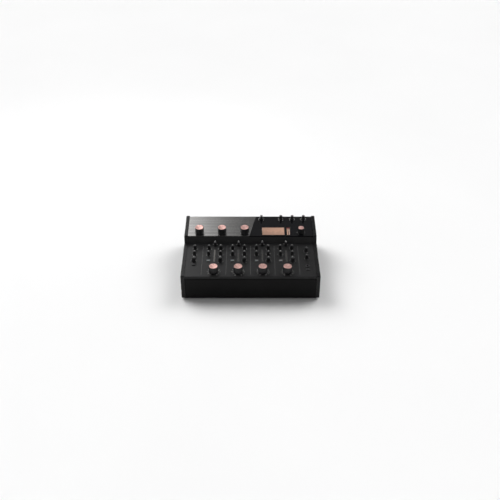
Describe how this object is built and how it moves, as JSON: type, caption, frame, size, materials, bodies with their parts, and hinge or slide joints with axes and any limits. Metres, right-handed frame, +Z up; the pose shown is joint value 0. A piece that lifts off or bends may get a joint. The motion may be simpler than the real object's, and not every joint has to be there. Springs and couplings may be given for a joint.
{
  "type": "dj mixer",
  "caption": "Rotary DJ mixer: stepped metal case with channel strips of knobs on a low deck and a raised bridge with isolator knobs, a display and effect controls.",
  "frame": {"origin": "on the table under the middle of the case", "axes": "+X to the right as the user sees it, +Y to the back, +Z up"},
  "size_m": [0.435, 0.305, 0.1349],
  "materials": {
    "case_black": "satin black, anodised",
    "deck_charcoal": "matte charcoal paint with a fine grain",
    "front_black": "satin black, anodised",
    "tray_black": "textured black paint",
    "brushed_panel": "brushed from side to side, dark anodised",
    "gloss_black": "polished black",
    "smoked_window": "smoked clear plastic",
    "knob_black": "soft-touch black",
    "cap_metal": "spun rose-coloured metal",
    "button_grey": "translucent grey",
    "board_green": "lacquered circuit board",
    "supply_parts": "varnished windings and cans",
    "socket_black": "moulded black",
    "foot_rubber": "matte rubber",
    "print_white": "screen-printed ink",
    "display_lit": "lit display behind a clear pane",
    "screw_steel": "black oxide and nickel"
  },
  "bodies": {
    "case": {"base_tray": "tray_black", "front_panel": "front_black", "rear_panel": "tray_black", "left_cheek": "case_black", "right_cheek": "case_black", "deck_panel": "deck_charcoal", "isolator_panel": "brushed_panel", "effects_panel": "gloss_black", "windows": "smoked_window", "control_boards": "board_green", "power_supply": "supply_parts", "sockets": "socket_black", "rubber_feet": "foot_rubber"},
    "channel_1_level_knob": {"channel_1_level_knob": "knob_black"},
    "channel_1_cue_button": {"channel_1_cue_button": "button_grey"},
    "channel_1_send_knob": {"channel_1_send_knob": "knob_black"},
    "channel_1_trim_knob": {"channel_1_trim_knob": "knob_black"},
    "channel_1_low_knob": {"channel_1_low_knob": "knob_black"},
    "channel_1_mid_knob": {"channel_1_mid_knob": "knob_black"},
    "channel_1_high_knob": {"channel_1_high_knob": "knob_black"},
    "channel_1_input_selector": {"channel_1_input_selector": "knob_black"},
    "channel_2_level_knob": {"channel_2_level_knob": "knob_black"},
    "channel_2_cue_button": {"channel_2_cue_button": "button_grey"},
    "channel_2_send_knob": {"channel_2_send_knob": "knob_black"},
    "channel_2_trim_knob": {"channel_2_trim_knob": "knob_black"},
    "channel_2_low_knob": {"channel_2_low_knob": "knob_black"},
    "channel_2_mid_knob": {"channel_2_mid_knob": "knob_black"},
    "channel_2_high_knob": {"channel_2_high_knob": "knob_black"},
    "channel_2_input_selector": {"channel_2_input_selector": "knob_black"},
    "channel_3_level_knob": {"channel_3_level_knob": "knob_black"},
    "channel_3_cue_button": {"channel_3_cue_button": "button_grey"},
    "channel_3_send_knob": {"channel_3_send_knob": "knob_black"},
    "channel_3_trim_knob": {"channel_3_trim_knob": "knob_black"},
    "channel_3_low_knob": {"channel_3_low_knob": "knob_black"},
    "channel_3_mid_knob": {"channel_3_mid_knob": "knob_black"},
    "channel_3_high_knob": {"channel_3_high_knob": "knob_black"},
    "channel_3_input_selector": {"channel_3_input_selector": "knob_black"},
    "channel_4_level_knob": {"channel_4_level_knob": "knob_black"},
    "channel_4_cue_button": {"channel_4_cue_button": "button_grey"},
    "channel_4_send_knob": {"channel_4_send_knob": "knob_black"},
    "channel_4_trim_knob": {"channel_4_trim_knob": "knob_black"},
    "channel_4_low_knob": {"channel_4_low_knob": "knob_black"},
    "channel_4_mid_knob": {"channel_4_mid_knob": "knob_black"},
    "channel_4_high_knob": {"channel_4_high_knob": "knob_black"},
    "channel_4_input_selector": {"channel_4_input_selector": "knob_black"},
    "mic_level_knob": {"mic_level_knob": "knob_black"},
    "mic_tone_knob": {"mic_tone_knob": "knob_black"},
    "booth_level_knob": {"booth_level_knob": "knob_black"},
    "mic_button": {"mic_button": "knob_black"},
    "phones_mix_knob": {"phones_mix_knob": "knob_black"},
    "phones_level_knob": {"phones_level_knob": "knob_black"},
    "isolator_low_knob": {"isolator_low_knob": "knob_black"},
    "isolator_mid_knob": {"isolator_mid_knob": "knob_black"},
    "isolator_high_knob": {"isolator_high_knob": "knob_black"},
    "master_level_knob": {"master_level_knob": "knob_black"},
    "effect_selector": {"effect_selector": "knob_black"},
    "effect_time_knob": {"effect_time_knob": "knob_black"},
    "effect_tone_knob": {"effect_tone_knob": "knob_black"},
    "effect_return_knob": {"effect_return_knob": "knob_black"},
    "power_switch": {"power_switch": "socket_black"}
  },
  "joints": [
    {"name": "channel_1_level_knob_turn", "type": "hinge", "parent": "case", "child": "channel_1_level_knob", "pos_m": [-0.1155, -0.1255, 0.089], "axis": [0, 0, 1], "range_deg": [-150, 150]},
    {"name": "channel_1_cue_button_press", "type": "slide", "parent": "case", "child": "channel_1_cue_button", "axis": [0, 0, -1], "range_m": [0, 0.0012], "stiffness_N_per_m": 300},
    {"name": "channel_1_send_knob_turn", "type": "hinge", "parent": "case", "child": "channel_1_send_knob", "pos_m": [-0.1345, -0.0355, 0.089], "axis": [0, 0, 1], "range_deg": [-150, 150]},
    {"name": "channel_1_trim_knob_turn", "type": "hinge", "parent": "case", "child": "channel_1_trim_knob", "pos_m": [-0.1345, -0.0025, 0.089], "axis": [0, 0, 1], "range_deg": [-150, 150]},
    {"name": "channel_1_low_knob_turn", "type": "hinge", "parent": "case", "child": "channel_1_low_knob", "pos_m": [-0.0965, -0.0685, 0.089], "axis": [0, 0, 1], "range_deg": [-150, 150]},
    {"name": "channel_1_mid_knob_turn", "type": "hinge", "parent": "case", "child": "channel_1_mid_knob", "pos_m": [-0.0965, -0.0355, 0.089], "axis": [0, 0, 1], "range_deg": [-150, 150]},
    {"name": "channel_1_high_knob_turn", "type": "hinge", "parent": "case", "child": "channel_1_high_knob", "pos_m": [-0.0965, -0.0025, 0.089], "axis": [0, 0, 1], "range_deg": [-150, 150]},
    {"name": "channel_1_input_selector_turn", "type": "hinge", "parent": "case", "child": "channel_1_input_selector", "pos_m": [-0.1155, 0.0185, 0.089], "axis": [0, 0, 1], "range_deg": [-60, 60]},
    {"name": "channel_2_level_knob_turn", "type": "hinge", "parent": "case", "child": "channel_2_level_knob", "pos_m": [-0.0385, -0.1255, 0.089], "axis": [0, 0, 1], "range_deg": [-150, 150]},
    {"name": "channel_2_cue_button_press", "type": "slide", "parent": "case", "child": "channel_2_cue_button", "axis": [0, 0, -1], "range_m": [0, 0.0012], "stiffness_N_per_m": 300},
    {"name": "channel_2_send_knob_turn", "type": "hinge", "parent": "case", "child": "channel_2_send_knob", "pos_m": [-0.0575, -0.0355, 0.089], "axis": [0, 0, 1], "range_deg": [-150, 150]},
    {"name": "channel_2_trim_knob_turn", "type": "hinge", "parent": "case", "child": "channel_2_trim_knob", "pos_m": [-0.0575, -0.0025, 0.089], "axis": [0, 0, 1], "range_deg": [-150, 150]},
    {"name": "channel_2_low_knob_turn", "type": "hinge", "parent": "case", "child": "channel_2_low_knob", "pos_m": [-0.0195, -0.0685, 0.089], "axis": [0, 0, 1], "range_deg": [-150, 150]},
    {"name": "channel_2_mid_knob_turn", "type": "hinge", "parent": "case", "child": "channel_2_mid_knob", "pos_m": [-0.0195, -0.0355, 0.089], "axis": [0, 0, 1], "range_deg": [-150, 150]},
    {"name": "channel_2_high_knob_turn", "type": "hinge", "parent": "case", "child": "channel_2_high_knob", "pos_m": [-0.0195, -0.0025, 0.089], "axis": [0, 0, 1], "range_deg": [-150, 150]},
    {"name": "channel_2_input_selector_turn", "type": "hinge", "parent": "case", "child": "channel_2_input_selector", "pos_m": [-0.0385, 0.0185, 0.089], "axis": [0, 0, 1], "range_deg": [-60, 60]},
    {"name": "channel_3_level_knob_turn", "type": "hinge", "parent": "case", "child": "channel_3_level_knob", "pos_m": [0.0385, -0.1255, 0.089], "axis": [0, 0, 1], "range_deg": [-150, 150]},
    {"name": "channel_3_cue_button_press", "type": "slide", "parent": "case", "child": "channel_3_cue_button", "axis": [0, 0, -1], "range_m": [0, 0.0012], "stiffness_N_per_m": 300},
    {"name": "channel_3_send_knob_turn", "type": "hinge", "parent": "case", "child": "channel_3_send_knob", "pos_m": [0.0195, -0.0355, 0.089], "axis": [0, 0, 1], "range_deg": [-150, 150]},
    {"name": "channel_3_trim_knob_turn", "type": "hinge", "parent": "case", "child": "channel_3_trim_knob", "pos_m": [0.0195, -0.0025, 0.089], "axis": [0, 0, 1], "range_deg": [-150, 150]},
    {"name": "channel_3_low_knob_turn", "type": "hinge", "parent": "case", "child": "channel_3_low_knob", "pos_m": [0.0575, -0.0685, 0.089], "axis": [0, 0, 1], "range_deg": [-150, 150]},
    {"name": "channel_3_mid_knob_turn", "type": "hinge", "parent": "case", "child": "channel_3_mid_knob", "pos_m": [0.0575, -0.0355, 0.089], "axis": [0, 0, 1], "range_deg": [-150, 150]},
    {"name": "channel_3_high_knob_turn", "type": "hinge", "parent": "case", "child": "channel_3_high_knob", "pos_m": [0.0575, -0.0025, 0.089], "axis": [0, 0, 1], "range_deg": [-150, 150]},
    {"name": "channel_3_input_selector_turn", "type": "hinge", "parent": "case", "child": "channel_3_input_selector", "pos_m": [0.0385, 0.0185, 0.089], "axis": [0, 0, 1], "range_deg": [-60, 60]},
    {"name": "channel_4_level_knob_turn", "type": "hinge", "parent": "case", "child": "channel_4_level_knob", "pos_m": [0.1155, -0.1255, 0.089], "axis": [0, 0, 1], "range_deg": [-150, 150]},
    {"name": "channel_4_cue_button_press", "type": "slide", "parent": "case", "child": "channel_4_cue_button", "axis": [0, 0, -1], "range_m": [0, 0.0012], "stiffness_N_per_m": 300},
    {"name": "channel_4_send_knob_turn", "type": "hinge", "parent": "case", "child": "channel_4_send_knob", "pos_m": [0.0965, -0.0355, 0.089], "axis": [0, 0, 1], "range_deg": [-150, 150]},
    {"name": "channel_4_trim_knob_turn", "type": "hinge", "parent": "case", "child": "channel_4_trim_knob", "pos_m": [0.0965, -0.0025, 0.089], "axis": [0, 0, 1], "range_deg": [-150, 150]},
    {"name": "channel_4_low_knob_turn", "type": "hinge", "parent": "case", "child": "channel_4_low_knob", "pos_m": [0.1345, -0.0685, 0.089], "axis": [0, 0, 1], "range_deg": [-150, 150]},
    {"name": "channel_4_mid_knob_turn", "type": "hinge", "parent": "case", "child": "channel_4_mid_knob", "pos_m": [0.1345, -0.0355, 0.089], "axis": [0, 0, 1], "range_deg": [-150, 150]},
    {"name": "channel_4_high_knob_turn", "type": "hinge", "parent": "case", "child": "channel_4_high_knob", "pos_m": [0.1345, -0.0025, 0.089], "axis": [0, 0, 1], "range_deg": [-150, 150]},
    {"name": "channel_4_input_selector_turn", "type": "hinge", "parent": "case", "child": "channel_4_input_selector", "pos_m": [0.1155, 0.0185, 0.089], "axis": [0, 0, 1], "range_deg": [-60, 60]},
    {"name": "mic_level_knob_turn", "type": "hinge", "parent": "case", "child": "mic_level_knob", "pos_m": [-0.18025, -0.0025, 0.089], "axis": [0, 0, 1], "range_deg": [-150, 150]},
    {"name": "mic_tone_knob_turn", "type": "hinge", "parent": "case", "child": "mic_tone_knob", "pos_m": [-0.18025, -0.0355, 0.089], "axis": [0, 0, 1], "range_deg": [-150, 150]},
    {"name": "booth_level_knob_turn", "type": "hinge", "parent": "case", "child": "booth_level_knob", "pos_m": [-0.18025, -0.0685, 0.089], "axis": [0, 0, 1], "range_deg": [-150, 150]},
    {"name": "mic_button_press", "type": "slide", "parent": "case", "child": "mic_button", "axis": [0, 0, -1], "range_m": [0, 0.0012], "stiffness_N_per_m": 300},
    {"name": "phones_mix_knob_turn", "type": "hinge", "parent": "case", "child": "phones_mix_knob", "pos_m": [0.18025, -0.0155, 0.089], "axis": [0, 0, 1], "range_deg": [-150, 150]},
    {"name": "phones_level_knob_turn", "type": "hinge", "parent": "case", "child": "phones_level_knob", "pos_m": [0.18025, -0.0545, 0.089], "axis": [0, 0, 1], "range_deg": [-150, 150]},
    {"name": "isolator_low_knob_turn", "type": "hinge", "parent": "case", "child": "isolator_low_knob", "pos_m": [-0.168, 0.05847, 0.11199], "axis": [0, -0.0523, 0.9986], "range_deg": [-150, 150]},
    {"name": "isolator_mid_knob_turn", "type": "hinge", "parent": "case", "child": "isolator_mid_knob", "pos_m": [-0.0935, 0.05847, 0.11199], "axis": [0, -0.0523, 0.9986], "range_deg": [-150, 150]},
    {"name": "isolator_high_knob_turn", "type": "hinge", "parent": "case", "child": "isolator_high_knob", "pos_m": [-0.019, 0.05847, 0.11199], "axis": [0, -0.0523, 0.9986], "range_deg": [-150, 150]},
    {"name": "master_level_knob_turn", "type": "hinge", "parent": "case", "child": "master_level_knob", "pos_m": [0.167, 0.05847, 0.11199], "axis": [0, -0.0523, 0.9986], "range_deg": [-150, 150]},
    {"name": "effect_selector_turn", "type": "hinge", "parent": "case", "child": "effect_selector", "pos_m": [0.037, 0.13252, 0.11588], "axis": [0, -0.0523, 0.9986], "range_deg": [-75, 75]},
    {"name": "effect_time_knob_turn", "type": "hinge", "parent": "case", "child": "effect_time_knob", "pos_m": [0.1025, 0.13252, 0.11588], "axis": [0, -0.0523, 0.9986], "range_deg": [-150, 150]},
    {"name": "effect_tone_knob_turn", "type": "hinge", "parent": "case", "child": "effect_tone_knob", "pos_m": [0.1405, 0.13252, 0.11588], "axis": [0, -0.0523, 0.9986], "range_deg": [-150, 150]},
    {"name": "effect_return_knob_turn", "type": "hinge", "parent": "case", "child": "effect_return_knob", "pos_m": [0.1785, 0.13252, 0.11588], "axis": [0, -0.0523, 0.9986], "range_deg": [-150, 150]},
    {"name": "power_switch_rock", "type": "hinge", "parent": "case", "child": "power_switch", "pos_m": [-0.1292, 0.1405, 0.056], "axis": [1, 0, 0], "range_deg": [0, 16]}
  ]
}
